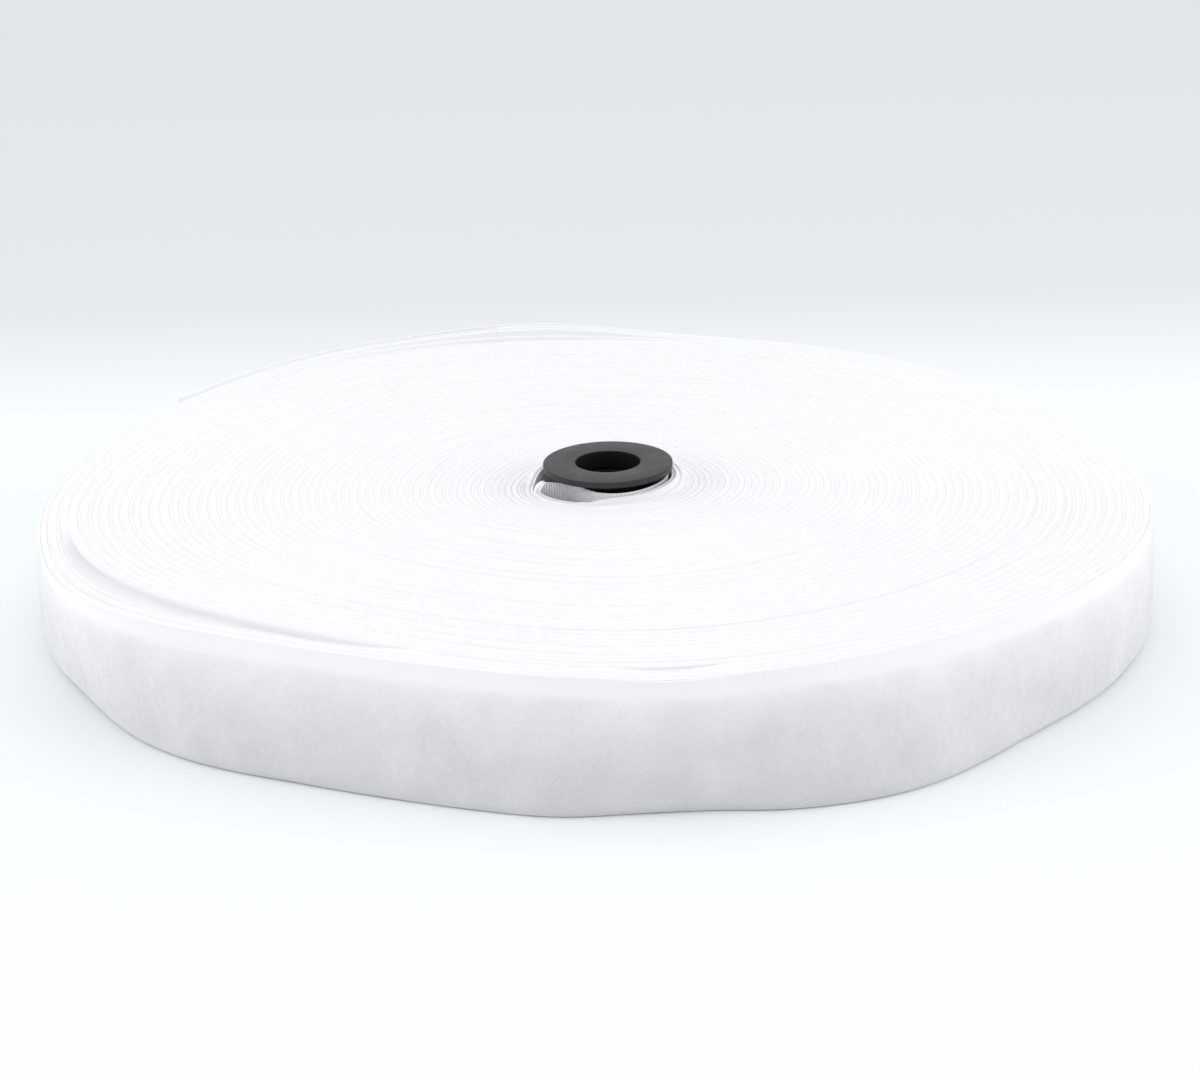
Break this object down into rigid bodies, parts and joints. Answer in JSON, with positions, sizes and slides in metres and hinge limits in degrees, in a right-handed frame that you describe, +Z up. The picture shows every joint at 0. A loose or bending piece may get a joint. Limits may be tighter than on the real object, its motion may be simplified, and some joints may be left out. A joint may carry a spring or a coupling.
{
  "type": "loop tape roll",
  "caption": "Flat coil of white loop tape wound on edge around a black plastic two-piece flanged core, with loose outer turns and a free end that peels off.",
  "frame": {"origin": "on the axis of the core's bore, at the surface that the roll lies on", "axes": "+Z up along the core's axis, +X to the right and +Y to the back of the roll as pictured"},
  "size_m": [0.2354, 0.2282, 0.0294],
  "materials": {
    "white_loop_tape": "woven nylon tape with brushed loop pile on its outer side",
    "black_plastic": "moulded, satin"
  },
  "bodies": {
    "roll": {"tape_pack": "white_loop_tape", "tape_inner_turns": "white_loop_tape", "tape_outer_turns": "white_loop_tape"},
    "core": {"core_lower_half": "black_plastic"},
    "core_cap": {"core_upper_half": "black_plastic"},
    "tape_end": {"tape_free_end": "white_loop_tape"}
  },
  "joints": [
    {"name": "core_spin", "type": "hinge", "parent": "roll", "child": "core", "pos_m": [0, 0, 0], "axis": [0, 0, 1], "continuous": true},
    {"name": "core_halves_part", "type": "slide", "parent": "core", "child": "core_cap", "axis": [0, 0, 1], "range_m": [0, 0.026]},
    {"name": "tape_end_peel", "type": "hinge", "parent": "roll", "child": "tape_end", "pos_m": [-0.05122, 0.11464, 0], "axis": [0, 0, -1], "range_deg": [0, 90]}
  ]
}
